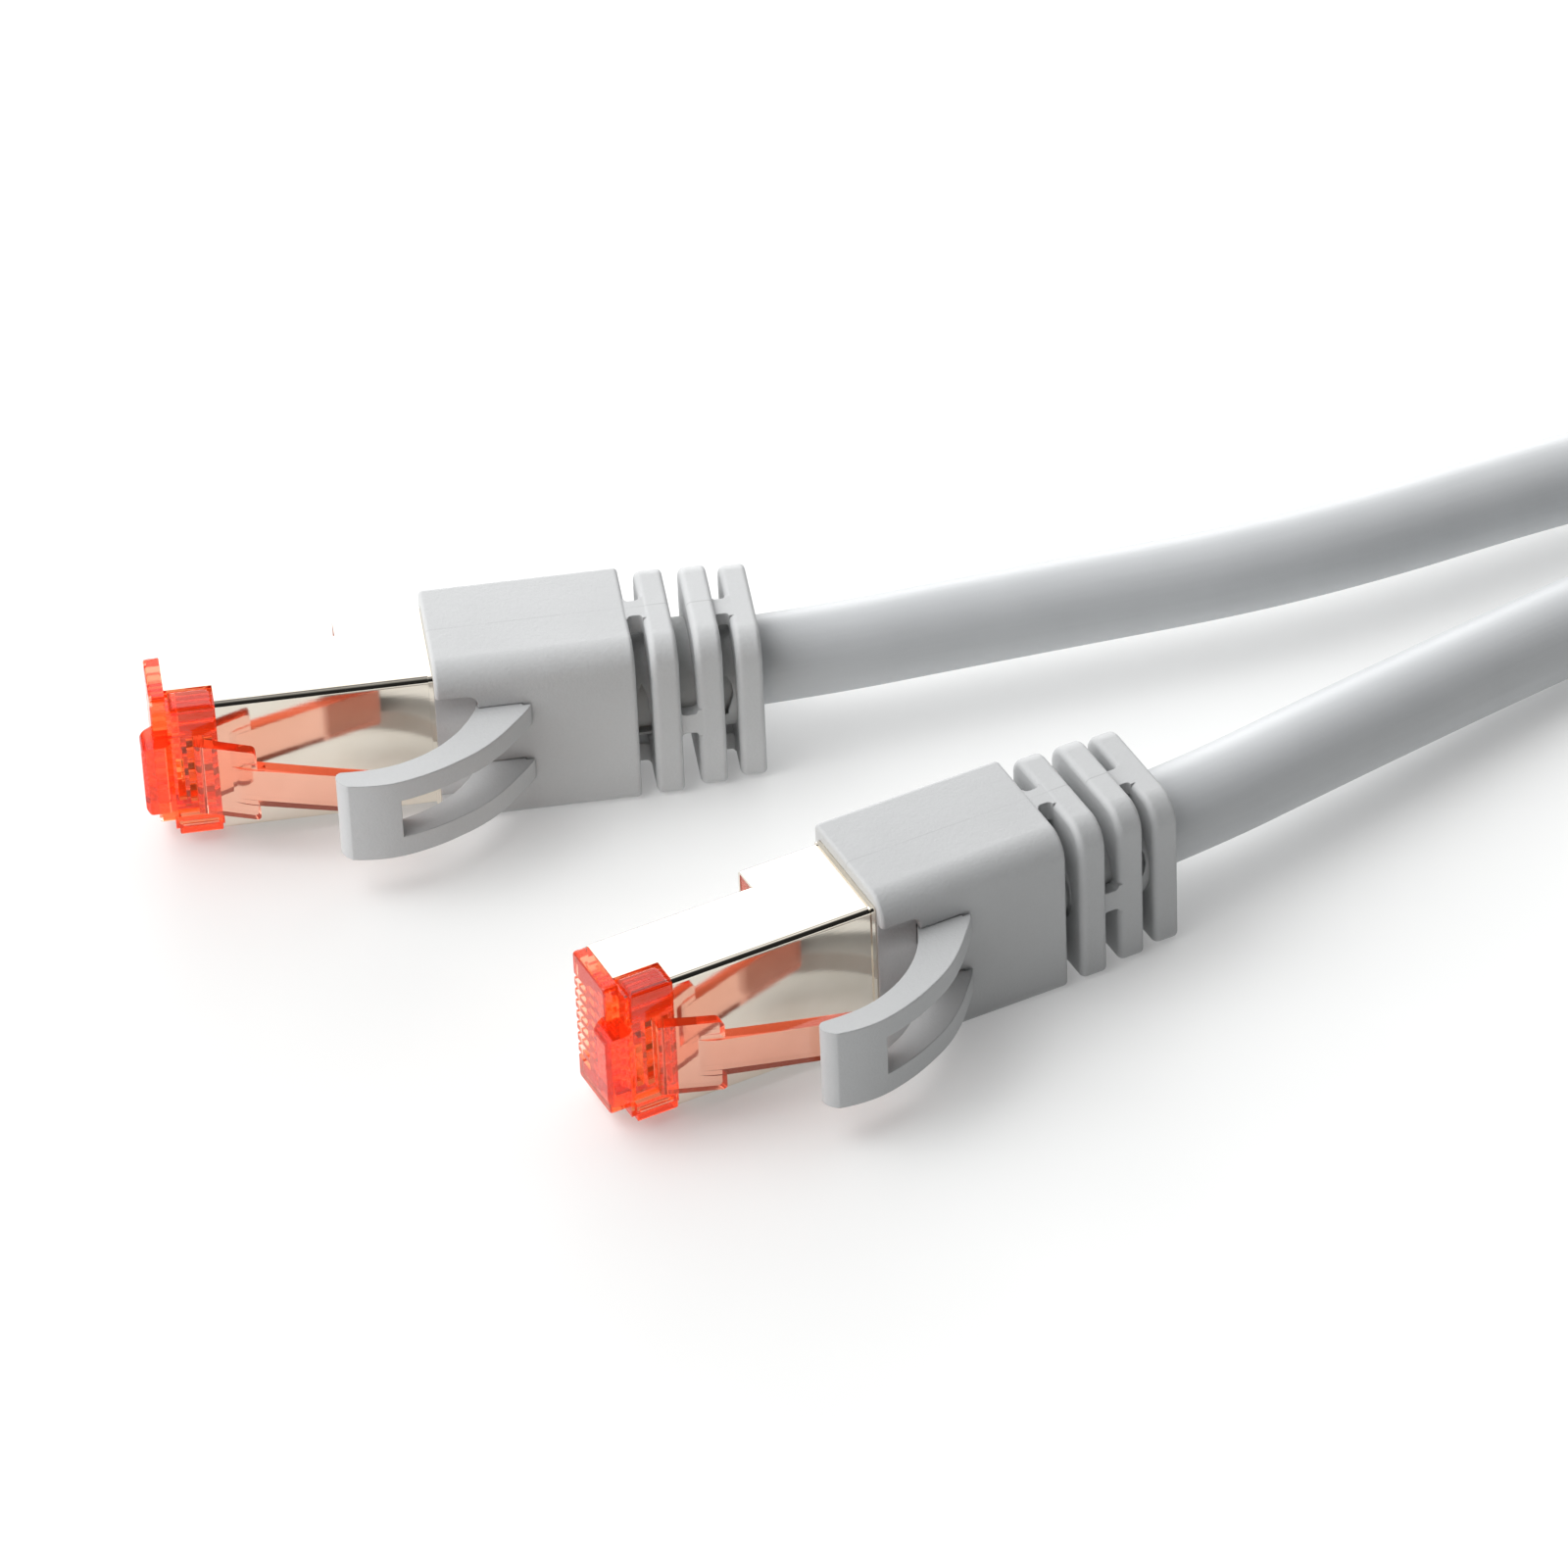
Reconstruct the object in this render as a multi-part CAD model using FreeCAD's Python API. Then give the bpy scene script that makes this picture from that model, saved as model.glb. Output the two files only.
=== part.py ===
import FreeCAD, Part
import math
import os

V = FreeCAD.Vector
os.makedirs("parts", exist_ok=True)

# ---------------------------------------------------------------- sizes (mm)
# One connector, along its own axis: x runs from the nose to the cable, y from
# the contact side (0) to the latch side, z across the width, centre at 0.
plug_w = 11.68          # width of the plug over its metal shell
plug_t = 6.6            # thickness, contact side to latch side
shell_wall = 0.25
shell_x0 = 1.0          # the shell starts behind the nose plate
shell_step_x = 14.08    # the shell gets thicker on the contact side here
shell_step = 1.95
shell_x1 = 22.2
pin_pitch = 1.02
slot_w = 0.56
blade_w = 0.34
wire_r = 0.45
copper_r = 0.2
wire_y = 3.4

boot_x0 = 20.55
boot_x1 = 35.21
boot_y0 = -2.8
boot_y1 = 7.62
boot_h = 13.77
boot_r_top = 2.0        # long edge between the upper side and the latch side
axis_y = 2.0            # cable axis

sleeve_r = 4.15
cable_d = 6.8
jacket_x = 23.0         # the jacket starts here inside the boot

pivot_lever = (3.22, 6.8)
knuckle_lever_r = 0.42
pivot_guard = (25.1, 7.9)
knuckle_guard_r = 1.75
run_fit = 0.06          # radial clearance of both flexing roots

# Where the two connectors lie: nose position and turn about Z, both on their
# side with the latch towards -Y. Plug b points along the common X axis.
origin_x = -13.5696
origin_y = -8.023
pose_a = (-40.73, 21.99, -18.71)
pose_b = (-27.88, -22.84, 0.0)

# Corners of the cable's route between the boots (before the origin is moved):
# out of boot a, together under the tie, once round in a loop, back to boot b.
route_a = [(21.1, 2.0, 6.6), (42.1, -2.5, 6.45), (65.3, -2.5, 5.5), (81.2, -4.8, 5.1), (95.9, -4.8, 4.9)]
route_loop = [(109.5, 0.9, 4.1), (120.5, 12.3, 3.6), (135.3, 23.9, 3.5), (153.9, 26.7, 3.5), (171.6, 20.0, 3.5),
              (183.5, 5.3, 3.5), (186.4, -13.6, 3.5), (179.3, -31.4, 3.5), (163.9, -43.4, 3.5), (144.5, -45.8, 3.5),
              (126.6, -38.1, 3.5), (114.6, -22.3, 4.0)]
route_b = [(100.4, -13.2, 4.9), (84.7, -11.0, 4.9), (69.5, -15.4, 3.9), (55.0, -17.0, 4.3), (37.3, -20.6, 5.7)]
tie_x = 90.5
tie_y = -8.35
tie_z = 4.95
tie_w = 9.0
tie_t = 1.0

# ------------------------------------------------------------------- helpers
def box(x0, x1, y0, y1, z0, z1):
    return Part.makeBox(x1 - x0, y1 - y0, z1 - z0, V(x0, -y1, z0))


def cyl_z(x, y, r, z0, z1):
    return Part.makeCylinder(r, z1 - z0, V(x, -y, z0), V(0, 0, 1))


def cyl_x(y, z, r, x0, x1):
    return Part.makeCylinder(r, x1 - x0, V(x0, -y, z), V(1, 0, 0))


def cyl_y(x, z, r, y0, y1):
    return Part.makeCylinder(r, y1 - y0, V(x, -y1, z), V(0, 1, 0))


def prism_z(points, z0, z1):
    """Outline in x and y, pushed along z."""
    p = [V(x, -y, z0) for x, y in points]
    face = Part.Face(Part.makePolygon(p + [p[0]]))
    return face.extrude(V(0, 0, z1 - z0))


def prism_y(points, y0, y1):
    """Outline in x and z, pushed along y."""
    p = [V(x, -y1, z) for x, z in points]
    return Part.Face(Part.makePolygon(p + [p[0]])).extrude(V(0, y1 - y0, 0))


def spline_prism_z(curves, z0, z1):
    """Closed outline of straight and curved stretches in x and y."""
    edges = []
    for c in curves:
        p = [V(x, -y, z0) for x, y in c]
        if len(p) == 2:
            edges.append(Part.LineSegment(p[0], p[1]).toShape())
        else:
            b = Part.BSplineCurve()
            b.interpolate(p)
            edges.append(b.toShape())
    return Part.Face(Part.Wire(edges)).extrude(V(0, 0, z1 - z0))


def rounded_x(x0, x1, y0, y1, z0, z1, r):
    """Box along x with its four long edges rounded: r = far-low, near-low, near-high, far-high; y0 is the far side."""
    rfl, rnl, rnh, rfh = r
    k = math.sqrt(0.5)
    e = []

    def p(y, z):
        return V(x0, -y, z)

    def line(a, b):
        if (a - b).Length > 1e-6:
            e.append(Part.LineSegment(a, b).toShape())

    line(p(y0 + rfl, z0), p(y1 - rnl, z0))
    if rnl:
        e.append(Part.Arc(p(y1 - rnl, z0), p(y1 - rnl + rnl * k, z0 + rnl - rnl * k), p(y1, z0 + rnl)).toShape())
    line(p(y1, z0 + rnl), p(y1, z1 - rnh))
    if rnh:
        e.append(Part.Arc(p(y1, z1 - rnh), p(y1 - rnh + rnh * k, z1 - rnh + rnh * k), p(y1 - rnh, z1)).toShape())
    line(p(y1 - rnh, z1), p(y0 + rfh, z1))
    if rfh:
        e.append(Part.Arc(p(y0 + rfh, z1), p(y0 + rfh - rfh * k, z1 - rfh + rfh * k), p(y0, z1 - rfh)).toShape())
    line(p(y0, z1 - rfh), p(y0, z0 + rfl))
    if rfl:
        e.append(Part.Arc(p(y0, z0 + rfl), p(y0 + rfl - rfl * k, z0 + rfl - rfl * k), p(y0 + rfl, z0)).toShape())
    return Part.Face(Part.Wire(e)).extrude(V(x1 - x0, 0, 0))


def flared(x0, x1, mid, half, r):
    """Outline of a short bridge from x0 to x1 that widens in quarter rounds at both ends and runs on into its neighbours."""
    def end(x, out, s):
        pts = [(x + out * (r - r * math.cos(t)), mid + s * (half + r - r * math.sin(t))) for t in (k * math.pi / 12 for k in range(7))]
        return [(x - out * 0.5, mid + s * (half + r))] + pts
    return end(x0, 1, 1) + end(x1, -1, 1)[::-1] + end(x1, -1, -1) + end(x0, 1, -1)[::-1]


def soften(shape, r, want):
    """Rounds the edges that want(edge) picks; tries them together, then one by one."""
    picked = [e for e in shape.Edges if want(e)]
    if not picked:
        return shape
    try:
        s = shape.makeFillet(r, picked)
        if s.isValid() and s.Volume > 0:
            return s
    except Exception:
        pass
    return shape


def at_x(x, tol=1e-3):
    return lambda e: abs(e.BoundBox.XMin - x) < tol and abs(e.BoundBox.XMax - x) < tol


def cable_path(points):
    """Straight runs joined by tangent arcs; every arc leaves a tenth of the shorter run straight."""
    edges, at, length, radii = [], points[0], 0.0, []
    for a, b, c in zip(points, points[1:], points[2:]):
        u, w = (b - a), (c - b)
        short = min(u.Length, w.Length)
        u.normalize()
        w.normalize()
        turn = u.getAngle(w)
        if turn < 1e-4:
            continue
        cut = 0.45 * short
        r = cut / math.tan(turn / 2)
        p, q = b - u * cut, b + w * cut
        mid = b + (w - u).normalize() * (r / math.cos(turn / 2) - r)
        if (p - at).Length > 1e-6:
            edges.append(Part.LineSegment(at, p).toShape())
        edges.append(Part.Arc(p, mid, q).toShape())
        length += (p - at).Length + r * turn
        radii.append((round(r, 1), round(math.degrees(turn), 1)))
        at = q
    edges.append(Part.LineSegment(at, points[-1]).toShape())
    length += (points[-1] - at).Length
    return Part.Wire(edges), length, radii


def tube(points, r, name=None):
    wire, length, radii = cable_path(points)
    first = points[1] - points[0]
    section = Part.Wire(Part.makeCircle(r, points[0], first))
    solid = wire.makePipeShell([section], True, False)
    if name:
        share = solid.Volume / (math.pi * r * r * length)
        print(name, "length", round(length, 1), "volume share", round(share, 4), "radii and turns", radii)
    return solid


def union(shapes):
    s = shapes[0]
    for t in shapes[1:]:
        s = s.fuse(t)
    return s.removeSplitter()


def one_solid(s):
    if len(s.Solids) == 1:
        return s.Solids[0]
    return s


half_w = plug_w / 2
half_h = boot_h / 2
pins = [pin_pitch * (3.5 - i) for i in range(8)]   # pin 1 is the highest


# ------------------------------------------------------------ plug, red parts
def plug_housing():
    nose = rounded_x(0.0, 1.15, 0.1, 5.2, -5.78, 5.78, (0.35, 0.4, 0.4, 0.35))
    nose = soften(nose, 0.22, at_x(0.0))
    body = box(1.1, 14.6, 0.32, 6.28, -5.5, 5.5)
    shoulders = []
    for z0, z1, out in ((3.3, half_w, half_w), (-half_w, -4.1, -half_w)):
        b = box(1.35, 4.5, 4.45, 6.72, z0, z1)
        b = soften(b, 0.6, lambda e: e.BoundBox.XLength < 1e-3 and abs(e.BoundBox.XMin - 4.5) < 1e-3 and abs(e.BoundBox.YMin + 4.45) < 1e-3
                   and e.BoundBox.YLength < 1e-3)
        b = soften(b, 0.3, lambda e, out=out: e.BoundBox.ZLength < 1e-3 and abs(e.BoundBox.ZMin - out) < 1e-3)
        shoulders.append(b)
    # raised block that the latch grows from, with chamfered corners
    block = prism_z([(-0.95, 5.2), (-0.95, 6.95), (-0.65, 7.3), (0.75, 7.3), (1.25, 6.9), (1.25, 4.6), (0.0, 4.6)], -3.15, 2.95)
    block = soften(block, 0.55, lambda e: abs(e.BoundBox.XMin + 0.95) < 1e-3 and abs(e.BoundBox.XMax + 0.95) < 1e-3
                   and e.BoundBox.YLength < 2 and e.BoundBox.ZLength < 1e-3)
    shelf = box(1.1, 4.45, 6.0, 6.62, -3.2, 3.2)
    # ledge that fills the shell where it gets thicker
    ledge = box(shell_step_x + 0.04, shell_step_x + 1.2, -shell_step + 0.35, 1.15, -5.5, 5.5)
    s = union([nose, body, block, shelf, ledge] + shoulders)
    # eight slots for the contacts, open to the nose and to the contact side
    for z in pins:
        s = s.cut(box(-0.1, 1.3, -0.1, 2.1, z - slot_w / 2, z + slot_w / 2))
        s = s.cut(box(1.2, 6.4, -0.1, 2.7, z - slot_w / 2, z + slot_w / 2))
        s = s.cut(cyl_x(wire_y, z, wire_r + 0.03, 1.9, 7.3))
        s = s.cut(box(1.5, 5.9, 2.6, 3.5, z - slot_w / 2, z + slot_w / 2))
    # cavity for the wire guide, open to the rear
    s = s.cut(box(7.0, 14.7, 1.2, 5.7, -4.95, 4.95))
    # pocket behind the latch block, three windows with bars between them, and the seat of the latch root
    s = s.cut(box(1.5, 2.05, 4.2, 7.5, -2.6, 1.25))
    for z0, z1 in ((-3.0, -1.17), (-0.93, 0.93), (1.17, 3.0)):
        s = s.cut(box(2.35, 4.25, 5.2, 6.8, z0, z1))
    s = s.cut(cyl_z(pivot_lever[0], pivot_lever[1], knuckle_lever_r + run_fit, -3.22, 3.28))
    # shallow slot along the lower shoulder
    s = s.cut(box(1.6, 4.2, 6.55, 6.8, -4.97, -4.53))
    return one_solid(s)


def latch_lever():
    outer = [(2.84, 7.72), (4.9, 8.5), (7.2, 9.38)]
    inner = [(7.2, 8.5), (5.0, 7.6), (3.62, 7.02)]
    wide = spline_prism_z([outer, [(7.2, 9.38), (7.2, 8.5)], inner, [(3.62, 7.02), (3.22, 6.6)], [(3.22, 6.6), (2.86, 6.82)], [(2.86, 6.82), (2.84, 7.72)]], -3.1, 3.1)
    wide = soften(wide, 0.35, lambda e: abs(e.BoundBox.XMin - 7.2) < 1e-3 and abs(e.BoundBox.XMax - 7.2) < 1e-3
                  and e.BoundBox.YLength > 0.5 and e.BoundBox.ZLength < 1e-3)
    # the narrow tab stands a little above the wide part
    tab_o = [(5.4, 8.68), (6.3, 9.24), (7.4, 9.62), (9.5, 10.24), (13.0, 11.27), (16.9, 12.32)]
    tab_i = [(16.9, 11.42), (13.0, 10.3), (9.5, 9.18), (7.2, 8.42), (5.4, 7.8)]
    tab = spline_prism_z([tab_o, [(16.9, 12.32), (16.9, 11.42)], tab_i, [(5.4, 7.8), (5.4, 8.68)]], -1.63, 1.63)
    root = cyl_z(pivot_lever[0], pivot_lever[1], knuckle_lever_r, -3.1, 3.1)
    s = union([wide, tab, root])
    s = soften(s, 0.3, lambda e: abs(e.BoundBox.XMin - 16.9) < 1e-3 and abs(e.BoundBox.XMax - 16.9) < 1e-3
               and e.BoundBox.YLength > 0.5 and e.BoundBox.ZLength < 1e-3)
    return one_solid(s)


# ---------------------------------------------------------------- metal parts
def contact_blades():
    out = []
    for z in pins:
        p = [(1.6, 0.42), (5.6, 0.42), (5.8, 0.62), (5.8, 2.3), (5.3, 2.3), (5.3, 3.3), (4.9, 3.7), (4.5, 3.3), (4.5, 2.6),
             (3.0, 2.6), (3.0, 3.3), (2.6, 3.7), (2.2, 3.3), (2.2, 2.3), (1.6, 2.3)]
        out.append(prism_z(p, z - blade_w / 2, z + blade_w / 2))
    return Part.makeCompound(out)


def shield_can():
    r = 0.45
    front = rounded_x(shell_x0 + 0.15, shell_x1, 0.0, plug_t, -half_w, half_w, (r, r, r, r))
    rear = rounded_x(shell_step_x, shell_x1, -shell_step, plug_t, -half_w, half_w, (r, r, r, r))
    band = rounded_x(20.2, 20.85, -shell_step - 0.12, plug_t + 0.14, -half_w - 0.1, half_w + 0.1, (0.35, 0.35, 0.35, 0.35))
    s = union([front, rear, band])
    w = shell_wall
    s = s.cut(rounded_x(shell_x0, shell_x1 + 0.1, w, plug_t - w, -half_w + w, half_w - w, (0.1, 0.1, 0.1, 0.1)))
    s = s.cut(rounded_x(shell_step_x - 0.1, shell_x1 + 0.1, -shell_step + w, plug_t - w, -half_w + w, half_w - w, (0.1, 0.1, 0.1, 0.1)))
    # cut-outs round the shoulders and under the root of the latch
    for sgn in (1, -1):
        z0, z1 = sorted((sgn * 3.15, sgn * (half_w + 0.2)))
        s = s.cut(box(0.9, 4.65, 4.3, 7.0, z0, z1))
    s = s.cut(box(0.9, 4.65, 5.9, 7.0, -3.35, 3.35))
    # contact side is open over the blades
    s = s.cut(box(0.9, 6.6, -0.2, 1.0, -4.4, 4.4))
    return one_solid(s)


def crimp_ferrule():
    s = cyl_x(axis_y, 0, 3.98, 24.0, 28.6).cut(cyl_x(axis_y, 0, 3.68, 23.9, 28.7))
    return s


def braid_collar(rc):
    return cyl_x(axis_y, 0, 3.68, 23.4, 28.9).cut(cyl_x(axis_y, 0, rc, 23.3, 29.0))


# --------------------------------------------------------------------- wires
ends_at = {  # pin index -> place in the cable, y and z
    0: (axis_y + 0.48, 1.62), 1: (axis_y - 0.48, 1.62),
    2: (axis_y - 1.62, 0.48), 5: (axis_y - 1.62, -0.48),
    3: (axis_y + 1.62, 0.48), 4: (axis_y + 1.62, -0.48),
    6: (axis_y - 0.48, -1.62), 7: (axis_y + 0.48, -1.62),
}


def wire_points(i):
    y1, z1 = ends_at[i]
    pts = [(2.0, wire_y, pins[i]), (12.9, wire_y, pins[i]), (21.2, y1, z1), (jacket_x, y1, z1)]
    return [V(x, -y, z) for x, y, z in pts]


def wire_solid(i, r):
    p = wire_points(i)
    out = []
    for a, b in zip(p, p[1:]):
        out.append(Part.makeCylinder(r, (b - a).Length, a, b - a))
    for c in p[1:-1]:
        out.append(Part.makeSphere(r, c))
    return one_solid(union(out))


def insulated(i, blades):
    s = wire_solid(i, wire_r).cut(wire_solid(i, copper_r))
    # the sleeve of the straight stretch stays one piece where the blade pierces it
    return one_solid(s.cut(blades))


def copper(i, blades):
    s = wire_solid(i, copper_r).cut(blades)
    solids = sorted(s.Solids, key=lambda t: -t.Volume)
    return solids


def wire_guide():
    s = box(7.2, 12.2, 1.5, 5.4, -4.8, 4.8)
    for z in pins:
        s = s.cut(cyl_x(wire_y, z, wire_r + 0.02, 7.0, 12.4))
    s = s.cut(box(7.1, 8.0, 4.4, 5.5, -4.9, 4.9))
    return one_solid(s)


# ---------------------------------------------------------------- boot, guard
def boot():
    block = rounded_x(boot_x0, boot_x1, boot_y0, boot_y1, -half_h, half_h, (0.9, 0.7, boot_r_top, 0.45))
    block = soften(block, 0.3, lambda e: at_x(boot_x1)(e))
    block = soften(block, 0.3, lambda e: at_x(boot_x0)(e))
    ribs = []
    rib_at = [(36.35, 38.4, -2.85, 7.6, -6.82, 6.85, (1.2, 0.7, 2.0, 1.5)), (39.65, 41.65, -3.2, 7.16, -6.82, 6.65, (1.2, 0.7, 2.0, 1.9)),
              (42.65, 44.6, -3.4, 6.87, -6.75, 6.05, (1.2, 0.8, 2.0, 1.6))]
    for x0, x1, y0, y1, z0, z1, r in rib_at:
        b = rounded_x(x0, x1, y0, y1, z0, z1, r)
        b = soften(b, 0.5, lambda e, x0=x0: at_x(x0)(e))
        b = soften(b, 0.35, lambda e, x1=x1: at_x(x1)(e))
        ribs.append(b)
    y_mid = 2.35
    bridges = []
    for s in (1, -1):
        z0, z1 = sorted((s * 5.2, s * 6.8))
        bridges.append(prism_z(flared(boot_x1, 36.35, y_mid, 0.88, 0.35), z0, z1))
        z0, z1 = (5.0, 6.04) if s > 0 else (-6.7, -5.2)
        bridges.append(prism_z(flared(41.65, 42.65, y_mid, 0.88, 0.3), z0, z1))
    bridges.append(prism_y(flared(38.4, 39.65, -0.72, 0.85, 0.35), 5.75, 7.14))
    bridges.append(prism_y(flared(38.4, 39.65, -0.72, 0.85, 0.35), -2.8, -1.7))
    s = union([block] + ribs + bridges)
    # room for the shell, the ferrule, the sleeve and the cable
    s = s.cut(rounded_x(boot_x0 - 0.1, 22.4, -shell_step - 0.13, plug_t + 0.15, -half_w - 0.11, half_w + 0.11, (0.3, 0.3, 0.3, 0.3)))
    s = s.cut(cyl_x(axis_y, 0, 4.0, 22.3, 29.1))
    s = s.cut(cyl_x(axis_y, 0, sleeve_r, 29.0, 44.9))
    # pocket in front of the guard's roots
    pocket = box(boot_x0 - 0.2, 23.6, 6.95, 8.2, -4.75, 4.6)
    pocket = soften(pocket, 0.8, lambda e: abs(e.BoundBox.XMin - 23.6) < 1e-3 and abs(e.BoundBox.XMax - 23.6) < 1e-3
                    and e.BoundBox.YLength > 0.5 and e.BoundBox.ZLength < 1e-3)
    s = s.cut(pocket)
    # seats of the guard's two roots
    for sgn in (1, -1):
        z0, z1 = sorted((sgn * 1.6, sgn * 3.5))
        s = s.cut(cyl_z(pivot_guard[0], pivot_guard[1], knuckle_guard_r + run_fit, z0, z1))
    return one_solid(s)


def latch_guard():
    # side view of an arm and of the plate over the latch's tip
    inner = [(23.32, 7.75), (22.6, 9.0), (21.5, 10.35), (20.4, 11.3), (19.3, 12.0), (18.1, 12.55), (17.0, 12.9), (15.4, 13.12), (13.6, 13.1), (12.95, 13.05)]
    nose = [(12.95, 13.05), (12.55, 13.45), (12.75, 14.2), (13.3, 14.75)]
    outer = [(13.3, 14.75), (14.8, 15.0), (16.7, 14.98), (18.4, 14.6), (20.0, 14.05), (21.4, 13.4), (23.0, 12.5), (24.4, 11.4), (25.4, 10.4), (26.35, 9.3), (27.1, 8.4), (27.48, 7.8)]
    blank = spline_prism_z([inner, nose, outer, [(27.48, 7.8), (23.32, 7.75)]], -3.42, 3.42)
    blank = soften(blank, 0.3, lambda e: e.BoundBox.ZLength < 1e-3 and e.BoundBox.XLength > 0.5 and e.BoundBox.YMax < -7.85)
    s = blank
    for sgn in (1, -1):
        z0, z1 = sorted((sgn * 1.68, sgn * 3.42))
        s = s.fuse(cyl_z(pivot_guard[0], pivot_guard[1], knuckle_guard_r, z0, z1))
    # window between the arms behind the plate
    s = s.cut(box(17.05, 29.0, 4.0, 16.0, -1.68, 1.68))
    return one_solid(s.removeSplitter())


def inner_sleeve(rc):
    s = cyl_x(axis_y, 0, sleeve_r, 29.0, 44.4).cut(cyl_x(axis_y, 0, rc, 28.9, 44.8))
    # the skin over the cable ends in a pointed arch in the first gap and in a wave in the last one
    arch = [(34.9, 1.0), (35.4, 1.6), (35.8, 2.2), (36.05, 1.62), (36.2, 1.0), (36.23, 0.1), (36.37, -0.95), (36.5, -2.35), (34.9, -2.35)]
    wave = [(41.3, 2.15), (41.8, 2.12), (42.1, 1.92), (42.35, 1.48), (42.4, 0.7), (42.2, 0.0), (42.0, -0.7), (42.0, -1.05), (41.3, -1.3)]
    for outline in (arch, wave):
        s = s.cut(prism_y(outline, axis_y + 1.5, axis_y + 5.0).cut(cyl_x(axis_y, 0, sleeve_r - 0.5, 28.0, 46.0)))
    return one_solid(s)


# -------------------------------------------------------------- one connector
def connector(tag, cable_d):
    blades = contact_blades()
    rc = cable_d / 2
    nodes = {
        "plug_housing": plug_housing(),
        "latch_lever": latch_lever(),
        "contact_blades": blades,
        "shield_can": shield_can(),
        "wire_guide": wire_guide(),
        "crimp_ferrule": crimp_ferrule(),
        "braid_collar": braid_collar(rc),
        "inner_sleeve": inner_sleeve(rc),
        "boot": boot(),
        "latch_guard": latch_guard(),
    }
    for name, pair in (("orange_pair", (0, 1)), ("green_pair", (2, 5)), ("blue_pair", (3, 4)), ("brown_pair", (6, 7))):
        nodes[name] = Part.makeCompound([insulated(i, blades) for i in pair])
    cores = []
    for i in range(8):
        cores += copper(i, blades)
    nodes["copper_cores"] = Part.makeCompound(cores)
    return {k + "_" + tag: v for k, v in nodes.items()}


def placement(pose):
    x, y, turn = pose
    m = FreeCAD.Placement(V(x - origin_x, y - origin_y, half_h), FreeCAD.Rotation(V(0, 0, 1), turn))
    return m


def put(shape, pose):
    s = shape.copy()
    s.Placement = placement(pose).multiply(s.Placement)
    return s


# ----------------------------------------------------------------- the cable
def from_local(pose, x, y):
    """A point of the connector's own axes in the common frame, before the origin is moved."""
    a = math.radians(pose[2])
    return (pose[0] + x * math.cos(a) + y * math.sin(a), pose[1] + x * math.sin(a) - y * math.cos(a))


def end_of(pose, out):
    return from_local(pose, jacket_x + out, axis_y) + (half_h,)


route = [end_of(pose_a, 0.0), end_of(pose_a, 21.0)] + route_a + route_loop + route_b + [end_of(pose_b, 21.0), end_of(pose_b, 0.0)]


def shift(points):
    return [V(x - origin_x, y - origin_y, z) for x, y, z in points]


def tie():
    """Strap round both runs of the cable, its end lapped over the upper side."""
    half = 3.575

    def oval(r, x0, x1):
        a = Part.makeCylinder(r, x1 - x0, V(x0, tie_y - half, tie_z), V(1, 0, 0))
        b = Part.makeCylinder(r, x1 - x0, V(x0, tie_y + half, tie_z), V(1, 0, 0))
        return a.fuse(b).fuse(Part.makeBox(x1 - x0, 2 * half, 2 * r, V(x0, tie_y - half, tie_z - r))).removeSplitter()

    x0, x1 = tie_x - tie_w / 2, tie_x + tie_w / 2
    inner = cable_d / 2 + 0.2
    ring = oval(inner + tie_t, x0, x1)
    lap = oval(inner + 1.85 * tie_t, x0, x1).common(Part.makeBox(tie_w, 2 * half + 3.6, 20, V(x0, tie_y - half - 0.4, tie_z)))
    s = ring.fuse(lap).cut(oval(inner, x0 - 1, x1 + 1)).removeSplitter()
    s.translate(V(-origin_x, -origin_y, 0))
    return one_solid(s)


nodes = {}
for tag, pose in (("a", pose_a), ("b", pose_b)):
    for name, shape in connector(tag, cable_d).items():
        nodes[name] = put(shape, pose)

fixed = [n for n in nodes]
nodes["cable"] = tube(shift(route), cable_d / 2, "cable")
nodes["cable_tie"] = tie()

low, high = [1e9] * 3, [-1e9] * 3
for n in fixed:
    b = nodes[n].optimalBoundingBox() if hasattr(nodes[n], "optimalBoundingBox") else nodes[n].BoundBox
    for k, (a, c) in enumerate(((b.XMin, b.XMax), (b.YMin, b.YMax), (b.ZMin, b.ZMax))):
        low[k], high[k] = min(low[k], a), max(high[k], c)
print("box without the cable", [round(v, 3) for v in low], [round(v, 3) for v in high],
      "middle", round((low[0] + high[0]) / 2, 4), round((low[1] + high[1]) / 2, 4))

for name, shape in nodes.items():
    solids = len(shape.Solids)
    print(name, "solids", solids, "valid", shape.isValid(), "volume", round(shape.Volume, 2))
    shape.exportStep("parts/" + name + ".step")
print(len(nodes), "nodes")
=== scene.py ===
import math

import bmesh
import bpy
from mathutils import Matrix, Vector


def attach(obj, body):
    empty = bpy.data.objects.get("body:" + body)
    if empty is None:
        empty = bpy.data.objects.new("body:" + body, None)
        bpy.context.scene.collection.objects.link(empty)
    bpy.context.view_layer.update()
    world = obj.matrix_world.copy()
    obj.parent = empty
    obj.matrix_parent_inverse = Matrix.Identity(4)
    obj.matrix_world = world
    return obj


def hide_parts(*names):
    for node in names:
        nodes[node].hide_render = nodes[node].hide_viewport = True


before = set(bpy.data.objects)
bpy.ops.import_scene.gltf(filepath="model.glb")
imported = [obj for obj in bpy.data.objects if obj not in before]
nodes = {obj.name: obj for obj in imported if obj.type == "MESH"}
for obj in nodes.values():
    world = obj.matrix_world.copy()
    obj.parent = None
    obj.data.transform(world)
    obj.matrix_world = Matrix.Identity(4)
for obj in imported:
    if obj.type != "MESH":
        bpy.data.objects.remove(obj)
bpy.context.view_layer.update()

scene = bpy.context.scene
MM = 0.001

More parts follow.
